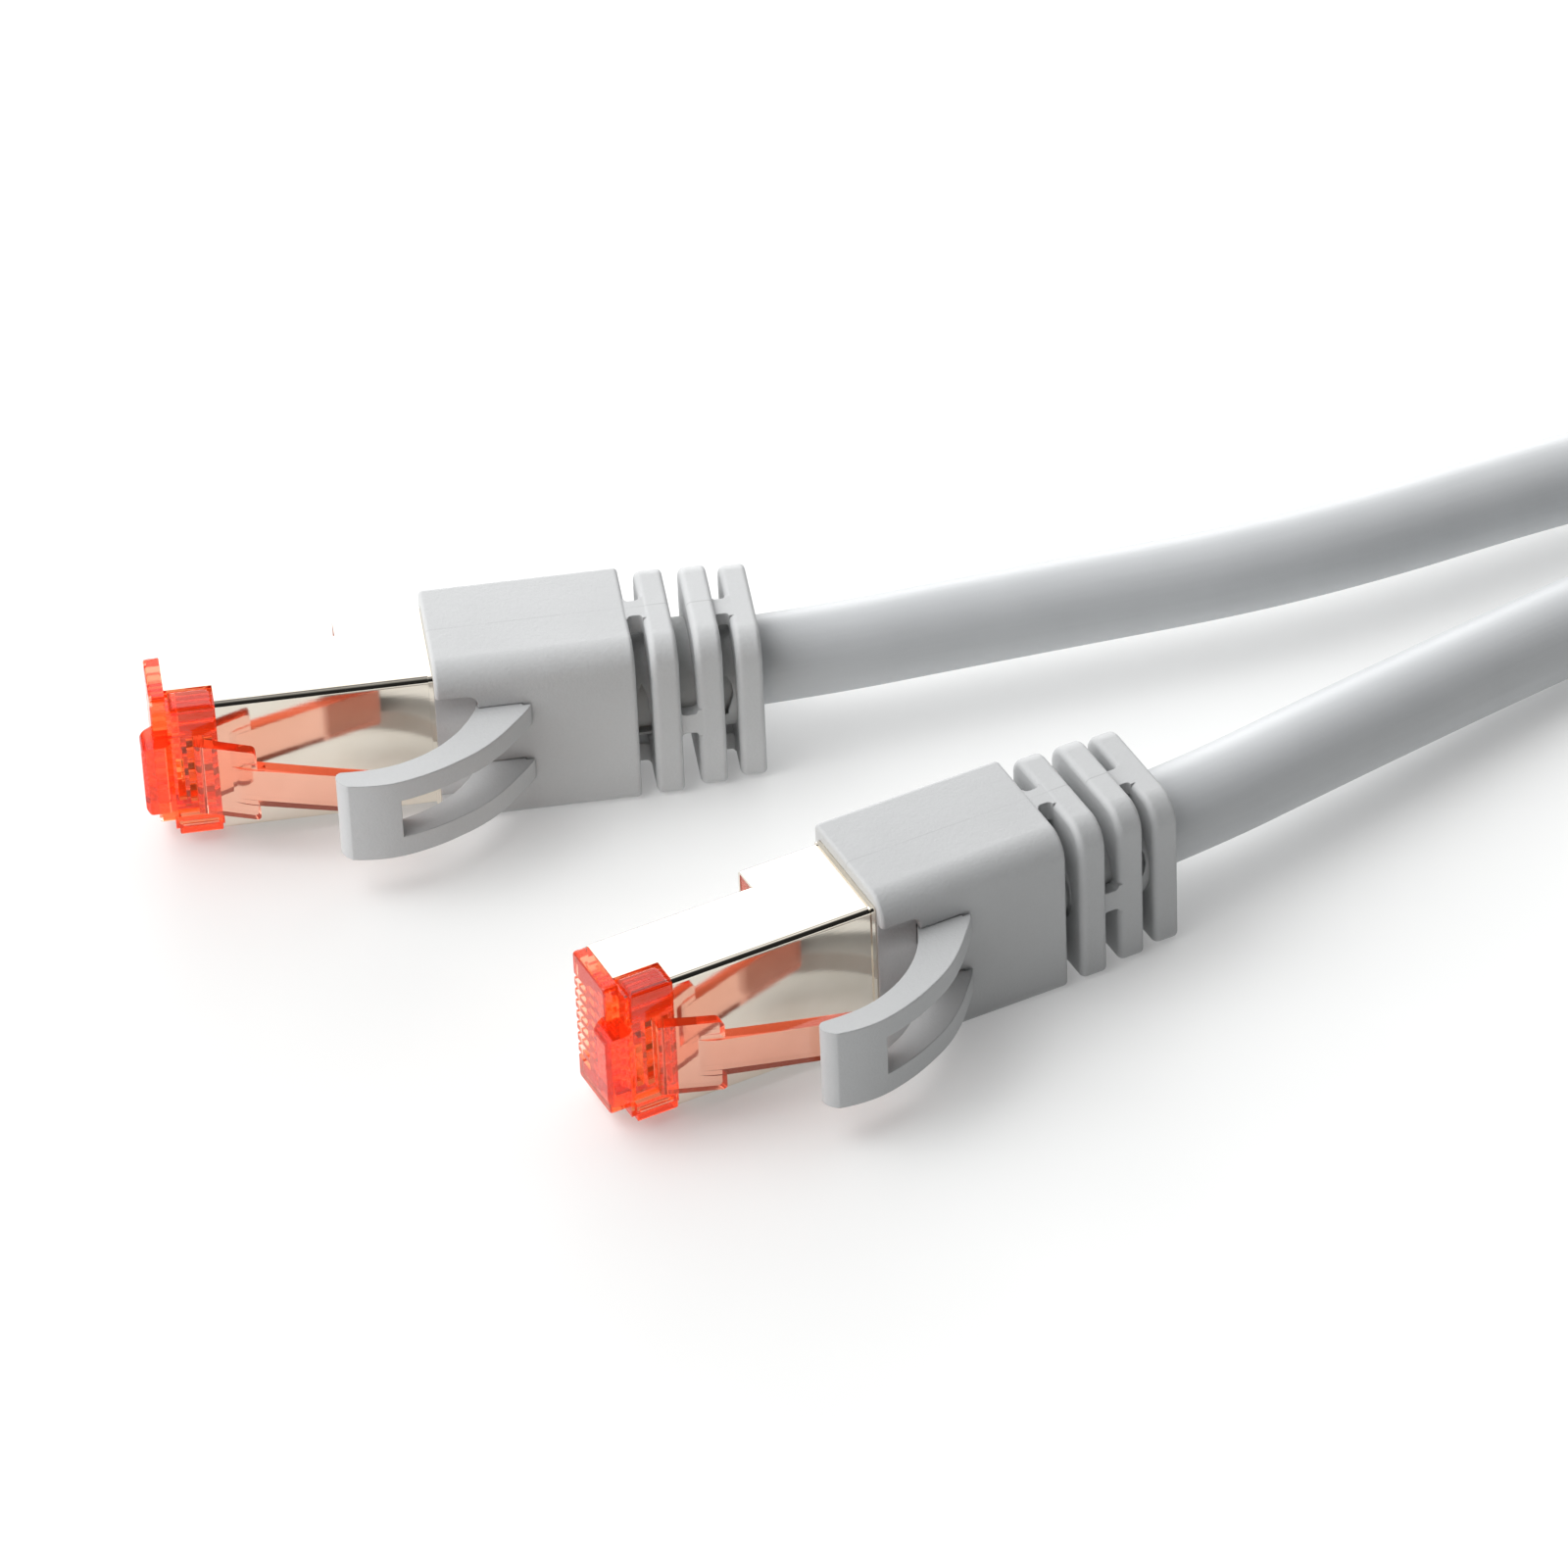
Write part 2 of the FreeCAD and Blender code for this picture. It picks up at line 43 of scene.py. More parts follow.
# ------------------------------------------------------------------ camera
cam_data = bpy.data.cameras.new("camera")
cam_data.sensor_width = 36.0
cam_data.lens = 222.6478697
cam_data.clip_start = 0.05
cam_data.clip_end = 20.0
camera = bpy.data.objects.new("camera", cam_data)
camera.matrix_world = Matrix((
    (0.890504, 0.311852, -0.331287, -0.222050),
    (-0.453659, 0.553269, -0.698632, -0.488863),
    (-0.034579, 0.772426, 0.634163, 0.451033),
    (0.0, 0.0, 0.0, 1.0)))
scene.collection.objects.link(camera)
scene.camera = camera

# ------------------------------------------------------------------- cable
# Out of the rear boot, under the tie, once round the loop, back to the front boot.
ROUTE = [
    (-6.017, 20.741, 6.885), (13.873, 14.004, 6.885), (34.670, 10.023, 6.6), (55.670, 5.523, 6.45),
    (78.870, 5.523, 5.5), (94.770, 3.223, 5.1), (109.470, 3.223, 4.9), (123.070, 8.923, 4.1),
    (134.070, 20.323, 3.6), (148.870, 31.923, 3.5), (167.470, 34.723, 3.5), (185.170, 28.023, 3.5),
    (197.070, 13.323, 3.5), (199.970, -5.577, 3.5), (192.870, -23.377, 3.5), (177.470, -35.377, 3.5),
    (158.070, -37.777, 3.5), (140.170, -30.077, 3.5), (128.170, -14.277, 4.0), (113.970, -5.177, 4.9),
    (98.270, -2.977, 4.9), (83.070, -7.377, 3.9), (68.570, -8.977, 4.3), (50.870, -12.577, 5.7),
    (29.690, -16.817, 6.885), (8.690, -16.817, 6.885)]
CABLE_D = 6.8


def route_line():
    """Points along the cable's own smooth line, read from a curve with the route's corners as control points."""
    data = bpy.data.curves.new("route", "CURVE")
    data.dimensions = "3D"
    s = data.splines.new("NURBS")
    s.points.add(len(ROUTE) - 1)
    for p, (x, y, z) in zip(s.points, ROUTE):
        p.co = (x * MM, y * MM, z * MM, 1.0)
    s.use_endpoint_u = True
    s.order_u = 3
    s.resolution_u = 24
    obj = bpy.data.objects.new("route", data)
    scene.collection.objects.link(obj)
    bpy.context.view_layer.update()
    me = bpy.data.meshes.new_from_object(obj)
    pts = [v.co.copy() for v in me.vertices]
    bpy.data.objects.remove(obj)
    bpy.data.curves.remove(data)
    bpy.data.meshes.remove(me)
    return pts


def frames_along(pts):
    """Arc length, tangent and two steady cross directions at every point."""
    out, at = [], 0.0
    side = None
    for k, p in enumerate(pts):
        t = (pts[min(k + 1, len(pts) - 1)] - pts[max(k - 1, 0)]).normalized()
        if k:
            at += (p - pts[k - 1]).length
        side = (Vector((0.0, 0.0, 1.0)) if side is None else side)
        side = (side - t * side.dot(t)).normalized()
        out.append((at, p, t, side, t.cross(side)))
    return out


def cable_tube(line):
    """Round jacket round the line, 6.6 mm at the rear boot and 7.0 mm at the front one, with a UV map in metres."""
    fr = frames_along(line)
    total = fr[-1][0]
    sides = 40
    me = bpy.data.meshes.new("cable_jacket")
    bm = bmesh.new()
    uv = bm.loops.layers.uv.new("along")
    rings = []
    for at, p, t, n, b in fr:
        r = CABLE_D / 2 * MM * (0.972 + 0.056 * at / total)
        ring = []
        for j in range(sides):
            a = 2 * math.pi * j / sides
            ring.append(bm.verts.new(p + (n * math.cos(a) + b * math.sin(a)) * r))
        rings.append(ring)
    for k in range(len(rings) - 1):
        for j in range(sides):
            q = (rings[k][j], rings[k][(j + 1) % sides], rings[k + 1][(j + 1) % sides], rings[k + 1][j])
            f = bm.faces.new(q)
            f.smooth = True
            for loop, (kk, jj) in zip(f.loops, ((k, j), (k, j + 1), (k + 1, j + 1), (k + 1, j))):
                loop[uv].uv = (fr[kk][0], jj / sides * math.pi * CABLE_D * MM)
    bm.faces.new(list(reversed(rings[0])))
    bm.faces.new(rings[-1])
    bmesh.ops.recalc_face_normals(bm, faces=bm.faces)
    bm.to_mesh(me)
    bm.free()
    obj = bpy.data.objects.new("cable_jacket", me)
    scene.collection.objects.link(obj)
    return obj


def hash_noise(*k):
    """Repeatable value between -1 and 1."""
    v = math.sin(sum(a * b for a, b in zip(k, (12.9898, 78.233, 37.719)))) * 43758.5453
    return 2.0 * (v - math.floor(v)) - 1.0


def strap_ring():
    """Hook-and-loop strap: starts on the upper side, goes once round both runs and laps over its own start, with a rounded tip."""
    mid_x, mid_y, mid_z, half, width, thick = 104.07, -0.327, 4.95, 3.575, 9.0, 0.9
    arc = math.pi * 4.1
    total = 2 * (2 * half + arc)
    end = total + 2 * half + 3.4

    def base(u):
        """Centre point on the line between the runs' middles and the way out from it, in y and z."""
        u = u % total
        if u < 2 * half:
            return (-half + u, 0.0), (0.0, 1.0)
        u -= 2 * half
        if u < arc:
            a = math.pi / 2 - u / 4.1
            return (half, 0.0), (math.cos(a), math.sin(a))
        u -= arc
        if u < 2 * half:
            return (half - u, 0.0), (0.0, -1.0)
        u -= 2 * half
        a = -math.pi / 2 - u / 4.1
        return (-half, 0.0), (math.cos(a), math.sin(a))

    bm = bmesh.new()
    uv = bm.loops.layers.uv.new("along")
    steps, across = 220, 22
    rings = []
    for k in range(steps + 1):
        u = end * k / steps
        (cy, cz), (ny, nz) = base(u)
        lift = min(1.0, max(0.0, (u - (total - 6.0)) / 5.6))
        lift = lift * lift * (3 - 2 * lift)
        r = 3.62 + thick / 2 + lift * (thick + 0.03) + 0.02 * math.sin(u * 0.9)
        to_tip = end - u
        w = width / 2
        if to_tip < 3.0:
            w = width / 2 - 3.0 + math.sqrt(max(0.0, 9.0 - (3.0 - to_tip) ** 2))
        wave = 0.05 * math.sin(u * 2.1) + 0.03 * math.sin(u * 5.3 + 1.0)
        ring = []
        for side in (1, -1):
            for j in range(across + 1):
                t = -1 + 2 * j / across
                t = t if side > 0 else -t
                edge = max(0.0, (abs(t) - 0.93) / 0.07)
                x = t * (w + wave * abs(t))
                fuzz = 0.045 * hash_noise(k, j, side) + 0.02 * math.sin(x * 9.0 + u * 3.0)
                out = side * (thick / 2) * math.sqrt(max(0.0, 1 - 0.75 * edge * edge)) + side * fuzz * (0.4 if side < 0 else 1.0)
                rr = r + out
                ring.append(bm.verts.new(((mid_x + x) * MM, (mid_y + cy + ny * rr) * MM, (mid_z + cz + nz * rr) * MM)))
        rings.append((u, ring))
    n = len(rings[0][1])
    for (u0, a), (u1, b) in zip(rings, rings[1:]):
        for j in range(n):
            i = (j + 1) % n
            f = bm.faces.new((a[j], a[i], b[i], b[j]))
            f.smooth = True
            for loop, (uu, jj) in zip(f.loops, ((u0, j), (u0, j + 1), (u1, j + 1), (u1, j))):
                loop[uv].uv = (uu * MM, jj / n * 2 * width * MM)
    bm.faces.new(list(reversed(rings[0][1])))
    bm.faces.new(rings[-1][1])
    bmesh.ops.recalc_face_normals(bm, faces=bm.faces)
    me = bpy.data.meshes.new("strap")
    bm.to_mesh(me)
    bm.free()
    obj = bpy.data.objects.new("strap", me)
    scene.collection.objects.link(obj)
    return obj


cable_line = route_line()
cable = cable_tube(cable_line)
strap = strap_ring()
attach(strap, "root")
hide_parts("cable_tie")
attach(cable, "root")
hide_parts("cable")

# ------------------------------------------------------------ floor, light
floor_me = bpy.data.meshes.new("floor")
bm = bmesh.new()
bmesh.ops.create_grid(bm, x_segments=1, y_segments=1, size=3.0)
bm.to_mesh(floor_me)
bm.free()
floor = bpy.data.objects.new("floor", floor_me)
scene.collection.objects.link(floor)


class Tree:
    """Small helper that adds linked shader nodes."""

    def __init__(self, tree):
        self.t = tree
        tree.nodes.clear()

    def node(self, kind, **inputs):
        n = self.t.nodes.new(kind)
        for key, value in inputs.items():
            if key.startswith("_"):
                setattr(n, key[1:], value)
        for key, value in inputs.items():
            if key.startswith("_"):
                continue
            name = key.replace("__", " ")
            sock = n.inputs[int(name[1:])] if name[0] == "i" and name[1:].isdigit() else n.inputs[name]
            if isinstance(value, bpy.types.NodeSocket):
                self.t.links.new(value, sock)
            else:
                sock.default_value = value
        return n

    def math(self, op, a, b=0.0, clamp=False):
        return self.node("ShaderNodeMath", _operation=op, _use_clamp=clamp, i0=a, i1=b).outputs[0]

    def ramp(self, fac, stops, mode="LINEAR"):
        n = self.node("ShaderNodeValToRGB", Fac=fac)
        e = n.color_ramp.elements
        while len(e) < len(stops):
            e.new(0.5)
        for el, (pos, col) in zip(e, stops):
            el.position = pos
            el.color = col if len(col) == 4 else tuple(col) + (1.0,)
        n.color_ramp.interpolation = mode
        return n.outputs["Color"]

    def remap(self, v, a0, a1, b0, b1):
        return self.node("ShaderNodeMapRange", Value=v, **{"From__Min": a0, "From__Max": a1, "To__Min": b0, "To__Max": b1}).outputs[0]


def studio_world():
    """Bright wall of light low behind the object, more from high on the left, darkness on the viewer's side."""
    w = bpy.data.worlds.new("studio")
    w.use_nodes = True
    t = Tree(w.node_tree)
    co = t.node("ShaderNodeTexCoord")
    d = t.node("ShaderNodeVectorMath", _operation="NORMALIZE", i0=co.outputs["Generated"]).outputs[0]

    def toward(v):
        n = t.node("ShaderNodeVectorMath", _operation="DOT_PRODUCT", i0=d)
        n.inputs[1].default_value = v
        return n.outputs["Value"]

    far, right, up = toward((0.4285, 0.9036, 0.0)), toward((0.9036, -0.4285, 0.0)), toward((0.0, 0.0, 1.0))
    turn = t.math("MULTIPLY", t.math("ARCTAN2", right, far), 180.0 / math.pi)
    rise = t.math("MULTIPLY", t.math("ARCSINE", up), 180.0 / math.pi)
    over = t.math("GREATER_THAN", rise, -0.01)

    def lobe(az, el, strength):
        off = t.node("ShaderNodeMath", _operation="WRAP", i0=t.math("SUBTRACT", turn, az), i1=180.0, i2=-180.0).outputs[0]
        a = t.math("MAXIMUM", t.math("SUBTRACT", 1.0, t.math("DIVIDE", t.math("ABSOLUTE", off), 45.0)), 0.0)
        e = t.math("MAXIMUM", t.math("SUBTRACT", 1.0, t.math("DIVIDE", t.math("ABSOLUTE", t.math("SUBTRACT", rise, el)), 30.0)), 0.0)
        return t.math("MULTIPLY", t.math("MULTIPLY", a, e), strength)

    s = t.math("MULTIPLY", t.math("MAXIMUM", t.math("SUBTRACT", 1.0, t.math("DIVIDE", t.math("SUBTRACT", 90.0, rise), 30.0)), 0.0), 0.4)
    for az, el, strength in SKY:
        s = t.math("ADD", s, lobe(az, el, strength))
    s = t.math("ADD", t.math("MULTIPLY", s, over), 0.02)
    seen = t.node("ShaderNodeLightPath").outputs["Is Camera Ray"]
    s = t.math("ADD", t.math("MULTIPLY", s, t.math("SUBTRACT", 1.0, seen)), seen)
    bg = t.node("ShaderNodeBackground", Color=(1.0, 1.0, 1.0, 1.0), Strength=s)
    out = t.node("ShaderNodeOutputWorld")
    t.t.links.new(bg.outputs[0], out.inputs[0])
    return w


# degrees to the right of straight away from the viewer, degrees up, strength
SKY = [(0.0, 0.0, 6.0), (0.0, 30.0, 2.55), (45.0, 60.0, 1.7), (225.0, 60.0, 3.5), (250.0, 20.0, 1.6), (270.0, 30.0, 3.2), (270.0, 60.0, 6.0), (315.0, 60.0, 2.5)]
scene.world = studio_world()


scene.view_settings.view_transform = "Standard"
scene.view_settings.look = "None"

# --------------------------------------------------------------- materials
def material(name):
    m = bpy.data.materials.new(name)
    m.use_nodes = True
    return m, Tree(m.node_tree)


def finish_material(t, shader, volume=None):
    out = t.node("ShaderNodeOutputMaterial")
    t.t.links.new(shader, out.inputs["Surface"])
    if volume:
        t.t.links.new(volume, out.inputs["Volume"])


def local_co(t, tag):
    """Coordinates along the connector's own axes, in metres: x nose to cable, y across, z up."""
    co = t.node("ShaderNodeTexCoord").outputs["Object"]
    m = t.node("ShaderNodeMapping", _vector_type="POINT", Vector=co)
    yaw = {"a": -18.71, "b": 0.0}[tag]
    px, py = {"a": (-27.1604, 30.013), "b": (-14.3104, -14.817)}[tag]
    a = math.radians(-yaw)
    m.inputs["Rotation"].default_value = (0.0, 0.0, a)
    c, s = math.cos(a), math.sin(a)
    m.inputs["Location"].default_value = (-(c * px - s * py) * MM, -(s * px + c * py) * MM, -6.885 * MM)
    return m.outputs[0]


def red_plastic(tag, lever):
    """Clear plastic that takes up green and blue along the light's way: pink where thin, deep orange red where thick; a
    faint painted orange-red glow, stronger on the housing than on the lever, makes it shine though it is no lamp.
    """
    m, t = material(("clear_red_lever_" if lever else "clear_red_") + tag)
    co = local_co(t, tag)
    n = t.node("ShaderNodeTexNoise", Vector=co, Scale=700.0, Detail=3.0, Roughness=0.55)
    fine = t.node("ShaderNodeTexNoise", Vector=co, Scale=5200.0, Detail=2.0)
    rough = t.remap(n.outputs[0], 0.3, 0.7, *((0.02, 0.07) if lever else (0.08, 0.15)))
    h = t.math("ADD", t.math("MULTIPLY", n.outputs[0], 0.8), t.math("MULTIPLY", fine.outputs[0], 0.05))
    bump = t.node("ShaderNodeBump", Height=h, Strength=0.25, Distance=0.00003)
    p = t.node("ShaderNodeBsdfPrincipled", Roughness=rough, Normal=bump.outputs[0], IOR=1.5)
    p.inputs["Base Color"].default_value = (1.0, 0.96, 0.95, 1.0) if lever else (1.0, 0.95, 0.92, 1.0)
    p.inputs["Transmission Weight"].default_value = 1.0
    # painted glow: the plastic gives off its own orange-red light, weaker on the lever than on the housing
    p.inputs["Emission Color"].default_value = (1.0, 0.15, 0.035, 1.0)
    p.inputs["Emission Strength"].default_value = 0.06 if lever else 0.11
    v = t.node("ShaderNodeVolumeAbsorption")
    v.inputs["Color"].default_value = (0.987, 0.37, 0.12, 1.0) if lever else (0.983, 0.41, 0.05, 1.0)
    v.inputs["Density"].default_value = 590.0 if lever else 680.0
    finish_material(t, p.outputs[0], v.outputs[0])
    return m


def nickel(tag):
    """Bright plated sheet: faint rolling lines along the shell, cloudy sheen, a warm tint."""
    m, t = material("nickel_" + tag)
    co = local_co(t, tag)
    st = t.node("ShaderNodeMapping", _vector_type="POINT", Vector=co)
    st.inputs["Scale"].default_value = (250.0, 250.0, 7000.0)
    n = t.node("ShaderNodeTexNoise", Vector=st.outputs[0], Scale=1.0, Detail=4.0, Roughness=0.6)
    cl = t.node("ShaderNodeTexNoise", Vector=co, Scale=240.0, Detail=3.0)
    wide = t.node("ShaderNodeTexNoise", Vector=co, Scale=90.0, Detail=1.0)
    rough = t.remap(t.math("ADD", t.math("MULTIPLY", n.outputs[0], 0.35), t.math("MULTIPLY", cl.outputs[0], 0.65)), 0.3, 0.7, 0.05, 0.13)
    h = t.math("ADD", t.math("MULTIPLY", n.outputs[0], 0.5), t.math("MULTIPLY", wide.outputs[0], 12.0))
    bump = t.node("ShaderNodeBump", Height=h, Strength=0.2, Distance=0.00002)
    col = t.ramp(cl.outputs[0], [(0.3, (0.78, 0.715, 0.61)), (0.7, (0.84, 0.785, 0.69))])
    p = t.node("ShaderNodeBsdfPrincipled", **{"Base__Color": col, "Metallic": 1.0, "Roughness": rough, "Normal": bump.outputs[0]})
    finish_material(t, p.outputs[0])
    return m


def soft_grey(name, tag, tone, grain=0.00004, seam_shade=False):
    m, t = material(name + "_" + tag)
    co = local_co(t, tag)
    big = t.node("ShaderNodeTexNoise", Vector=co, Scale=160.0, Detail=3.0)
    g = t.node("ShaderNodeTexNoise", Vector=co, Scale=4200.0, Detail=3.0, Roughness=0.6)
    g2 = t.node("ShaderNodeTexNoise", Vector=co, Scale=1300.0, Detail=2.0)
    lo = tuple(v * 0.965 for v in tone)
    hi = tuple(min(1.0, v * 1.03) for v in tone)
    mixed = t.math("ADD", t.math("MULTIPLY", big.outputs[0], 0.55), t.math("MULTIPLY", g.outputs[0], 0.45))
    col = t.ramp(mixed, [(0.35, lo), (0.65, hi)])
    if seam_shade:
        # faint mould seam along the middle of the upper side, now and then broken: painted shade, a darker line
        # standing for the shade in the seam's groove
        xyz = t.node("ShaderNodeSeparateXYZ", Vector=co)
        off = t.math("ABSOLUTE", t.math("ADD", xyz.outputs["Y"], 0.00222))
        line = t.math("MULTIPLY", t.math("LESS_THAN", off, 0.00006), t.math("GREATER_THAN", xyz.outputs["Z"], 0.0064))
        line = t.math("MULTIPLY", line, t.remap(big.outputs[0], 0.35, 0.6, 0.2, 1.0))
        mix = t.node("ShaderNodeMix", _data_type="RGBA")
        t.t.links.new(t.math("MULTIPLY", line, 0.4), mix.inputs[0])
        t.t.links.new(col, mix.inputs[6])
        mix.inputs[7].default_value = tuple(v * 0.6 for v in tone) + (1.0,)
        col = mix.outputs[2]
    rough = t.remap(g.outputs[0], 0.3, 0.7, 0.48, 0.62)
    h = t.math("ADD", t.math("MULTIPLY", g.outputs[0], 1.0), t.math("MULTIPLY", g2.outputs[0], 0.8))
    soft = t.node("ShaderNodeBevel", _samples=4, Radius=0.00016)
    bump = t.node("ShaderNodeBump", Height=h, Strength=0.6, Distance=grain, Normal=soft.outputs[0])
    p = t.node("ShaderNodeBsdfPrincipled", **{"Base__Color": col, "Roughness": rough, "Normal": bump.outputs[0], "IOR": 1.5})
    finish_material(t, p.outputs[0])
    return m


def plain(name, col, rough, metallic=0.0, scale=2000.0, bump_d=0.00002, spread=0.06, transmission=0.0):
    m, t = material(name)
    co = t.node("ShaderNodeTexCoord").outputs["Object"]
    n = t.node("ShaderNodeTexNoise", Vector=co, Scale=scale, Detail=3.0)
    lo = tuple(max(0.0, v * (1 - spread)) for v in col)
    hi = tuple(min(1.0, v * (1 + spread)) for v in col)
    c = t.ramp(n.outputs[0], [(0.35, lo), (0.65, hi)])
    r = t.remap(n.outputs[0], 0.3, 0.7, rough * 0.85, rough * 1.15)
    b = t.node("ShaderNodeBump", Height=n.outputs[0], Strength=0.4, Distance=bump_d)
    p = t.node("ShaderNodeBsdfPrincipled", **{"Base__Color": c, "Roughness": r, "Normal": b.outputs[0]})
    p.inputs["Metallic"].default_value = metallic
    p.inputs["Transmission Weight"].default_value = transmission
    finish_material(t, p.outputs[0])
    return m


def wire_insulation(tag, name, col, stripe_above, level):
    """Pair of wires: one in the full colour, one white with a stripe of it; which is which goes by height."""
    m, t = material(name + "_" + tag)
    co = local_co(t, tag)
    xyz = t.node("ShaderNodeSeparateXYZ", Vector=co)
    z = xyz.outputs["Z"]
    n = t.node("ShaderNodeTexNoise", Vector=co, Scale=1500.0, Detail=2.0)
    full = t.ramp(n.outputs[0], [(0.3, tuple(v * 0.92 for v in col)), (0.7, tuple(min(1.0, v * 1.06) for v in col))])
    white = t.ramp(n.outputs[0], [(0.3, (0.82, 0.81, 0.78)), (0.7, (0.88, 0.87, 0.85))])
    # the stripe winds slowly round the white wire
    ang = t.math("ARCTAN2", t.math("SUBTRACT", z, stripe_above), t.math("ADD", xyz.outputs["Y"], 0.0034))
    w = t.math("SINE", t.math("ADD", ang, t.math("MULTIPLY", xyz.outputs["X"], 700.0)))
    stripe = t.math("GREATER_THAN", w, 0.72)
    pick = t.math("GREATER_THAN", z, level) if stripe_above > level else t.math("LESS_THAN", z, level)
    a = t.node("ShaderNodeMix", _data_type="RGBA")
    t.t.links.new(stripe, a.inputs[0])
    t.t.links.new(white, a.inputs[6])
    t.t.links.new(full, a.inputs[7])
    b = t.node("ShaderNodeMix", _data_type="RGBA")
    t.t.links.new(pick, b.inputs[0])
    t.t.links.new(full, b.inputs[6])
    t.t.links.new(a.outputs[2], b.inputs[7])
    bump = t.node("ShaderNodeBump", Height=n.outputs[0], Strength=0.3, Distance=0.00001)
    rough = t.remap(n.outputs[0], 0.3, 0.7, 0.3, 0.42)
    p = t.node("ShaderNodeBsdfPrincipled", **{"Base__Color": b.outputs[2], "Roughness": rough, "Normal": bump.outputs[0]})
    finish_material(t, p.outputs[0])
    return m


def strap_material():
    m, t = material("strap_fabric")
    uv = t.node("ShaderNodeUVMap", _uv_map="along").outputs[0]
    co = t.node("ShaderNodeTexCoord").outputs["Object"]
    loops = t.node("ShaderNodeTexVoronoi", Vector=co, Scale=2600.0)
    hair = t.node("ShaderNodeTexNoise", Vector=co, Scale=5200.0, Detail=4.0, Roughness=0.7)
    rows = t.node("ShaderNodeTexWave", Vector=uv, Scale=420.0, Distortion=2.0, Detail=2.0, _bands_direction="X")
    tone = t.math("ADD", t.math("MULTIPLY", hair.outputs[0], 0.6), t.math("MULTIPLY", rows.outputs["Fac"], 0.25))
    col = t.ramp(tone, [(0.25, (0.012, 0.012, 0.013)), (0.75, (0.055, 0.055, 0.058))])
    h = t.math("ADD", t.math("MULTIPLY", loops.outputs["Distance"], 0.8), t.math("MULTIPLY", hair.outputs[0], 0.8))
    h = t.math("ADD", h, t.math("MULTIPLY", rows.outputs["Fac"], 0.5))
    bump = t.node("ShaderNodeBump", Height=h, Strength=0.9, Distance=0.00012)
    rough = t.remap(hair.outputs[0], 0.3, 0.7, 0.78, 0.95)
    p = t.node("ShaderNodeBsdfPrincipled", **{"Base__Color": col, "Roughness": rough, "Normal": bump.outputs[0]})
    p.inputs["Sheen Weight"].default_value = 0.25
    finish_material(t, p.outputs[0])
    return m


def cable_material():
    """Extruded jacket: satin, with faint lines along its length and a very fine grain."""
    m, t = material("cable_pvc")
    co = t.node("ShaderNodeTexCoord").outputs["Object"]
    uv = t.node("ShaderNodeUVMap", _uv_map="along").outputs[0]
    drawn = t.node("ShaderNodeMapping", _vector_type="POINT", Vector=uv)
    drawn.inputs["Scale"].default_value = (60.0, 2600.0, 1.0)
    lines = t.node("ShaderNodeTexNoise", Vector=drawn.outputs[0], Scale=1.0, Detail=3.0, Roughness=0.6)
    g = t.node("ShaderNodeTexNoise", Vector=co, Scale=3600.0, Detail=3.0, Roughness=0.6)
    big = t.node("ShaderNodeTexNoise", Vector=co, Scale=160.0, Detail=2.0)
    tone = t.math("ADD", t.math("MULTIPLY", big.outputs[0], 0.6), t.math("MULTIPLY", lines.outputs[0], 0.4))
    col = t.ramp(tone, [(0.3, (0.535, 0.550, 0.563)), (0.7, (0.575, 0.590, 0.603))])
    rough = t.remap(g.outputs[0], 0.3, 0.7, 0.36, 0.48)
    h = t.math("ADD", t.math("MULTIPLY", g.outputs[0], 0.6), t.math("MULTIPLY", lines.outputs[0], 0.5))
    h = t.math("ADD", h, t.math("MULTIPLY", big.outputs[0], 2.5))
    bump = t.node("ShaderNodeBump", Height=h, Strength=0.5, Distance=0.00003)
    p = t.node("ShaderNodeBsdfPrincipled", **{"Base__Color": col, "Roughness": rough, "Normal": bump.outputs[0], "IOR": 1.5})
    finish_material(t, p.outputs[0])
    return m


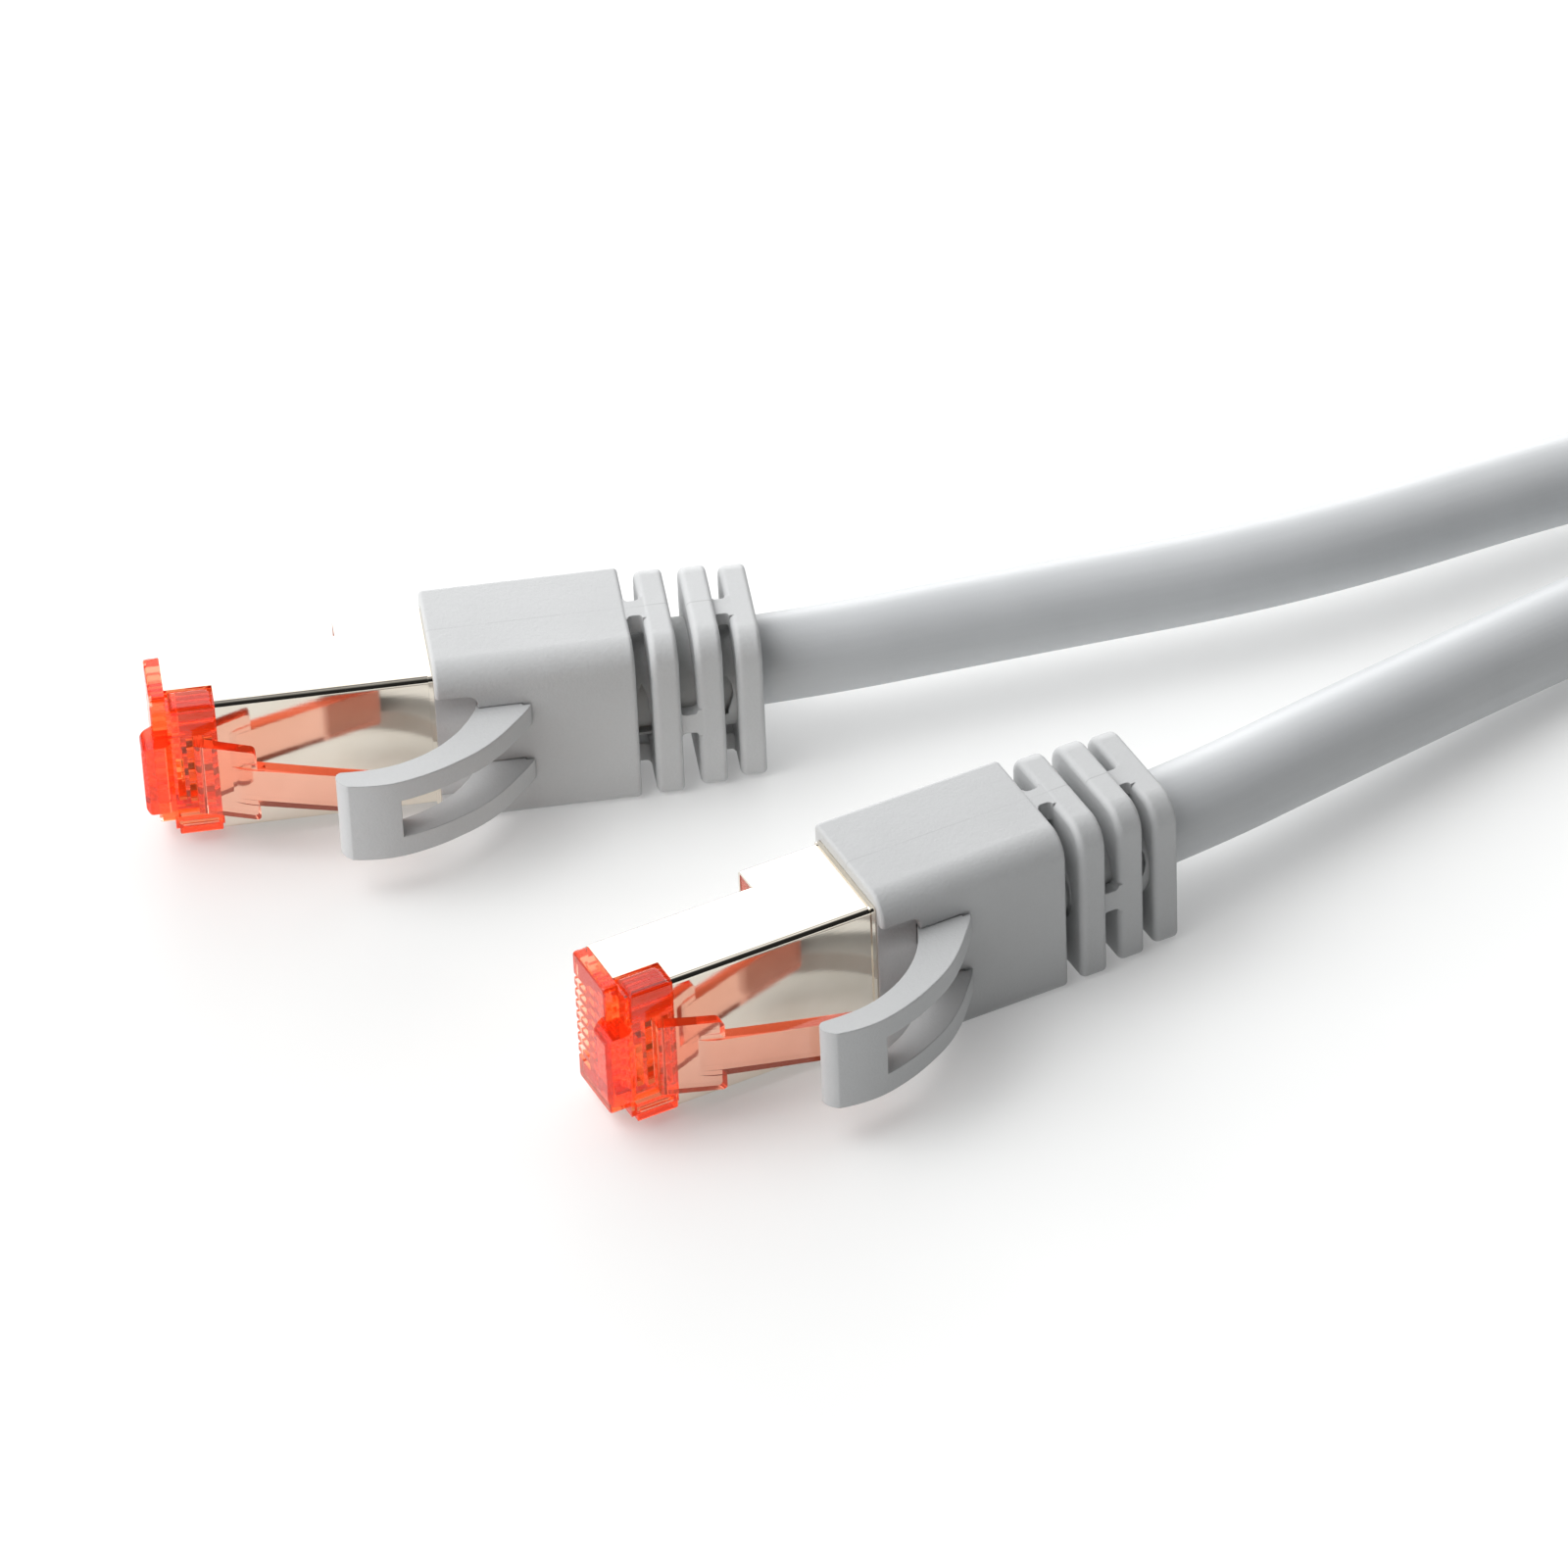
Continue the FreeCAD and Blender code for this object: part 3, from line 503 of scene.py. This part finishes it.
def floor_material():
    m, t = material("floor_white")
    co = t.node("ShaderNodeTexCoord").outputs["Object"]
    n = t.node("ShaderNodeTexNoise", Vector=co, Scale=40.0, Detail=2.0)
    c = t.ramp(n.outputs[0], [(0.3, (0.66, 0.665, 0.66)), (0.7, (0.68, 0.685, 0.68))])
    p = t.node("ShaderNodeBsdfPrincipled", **{"Base__Color": c, "Roughness": 0.6})
    p.inputs["Emission Color"].default_value = (1.0, 1.0, 1.0, 1.0)
    p.inputs["Emission Strength"].default_value = 0.235
    finish_material(t, p.outputs[0])
    return m


floor_me.materials.append(floor_material())


def dress(obj, m):
    if obj.type == "CURVE":
        obj.data.materials.append(m)
        return
    for s in obj.material_slots:
        s.link = "OBJECT"
        s.material = m


# painted light: one boot and guard grey, made lighter on connector a and darker on b to stand in for the stronger light
# on a's near face
GREY_LIT_AND_SHADED = {"a": (0.565, 0.573, 0.578), "b": (0.50, 0.508, 0.513)}
for tag in "ab":
    dress(nodes["plug_housing_" + tag], red_plastic(tag, False))
    dress(nodes["latch_lever_" + tag], red_plastic(tag, True))
    dress(nodes["shield_can_" + tag], nickel(tag))
    b = soft_grey("boot", tag, GREY_LIT_AND_SHADED[tag], seam_shade=True)
    dress(nodes["boot_" + tag], b)
    dress(nodes["latch_guard_" + tag], soft_grey("guard", tag, GREY_LIT_AND_SHADED[tag]))
    dress(nodes["inner_sleeve_" + tag], soft_grey("sleeve", tag, (0.42, 0.43, 0.43)))
plains = {
    "contact_blades": plain("gold", (0.95, 0.70, 0.30), 0.22, 1.0),
    "wire_guide": plain("guide", (0.93, 0.93, 0.92), 0.2, 0.0, transmission=0.6),
    "crimp_ferrule": plain("ferrule", (0.62, 0.60, 0.56), 0.3, 1.0),
    "braid_collar": plain("braid", (0.6, 0.6, 0.58), 0.4, 1.0),
    "copper_cores": plain("copper", (0.8, 0.4, 0.22), 0.3, 1.0),
}
for name, m in plains.items():
    for tag in "ab":
        dress(nodes[name + "_" + tag], m)
# colour, height of the white wire, height that parts the two
PAIRS = {"orange": ((0.85, 0.26, 0.02), 0.00357, 0.00306), "green": ((0.03, 0.30, 0.06), 0.00153, 0.0),
         "blue": ((0.03, 0.10, 0.50), -0.00051, 0.0), "brown": ((0.20, 0.08, 0.03), -0.00255, -0.00306)}
for name, (col, white_z, level) in PAIRS.items():
    for tag in "ab":
        dress(nodes[name + "_pair_" + tag], wire_insulation(tag, name, col, white_z, level))
cable.data.materials.append(cable_material())
strap.data.materials.append(strap_material())

# ------------------------------------------------------------------- close
bpy.context.view_layer.update()
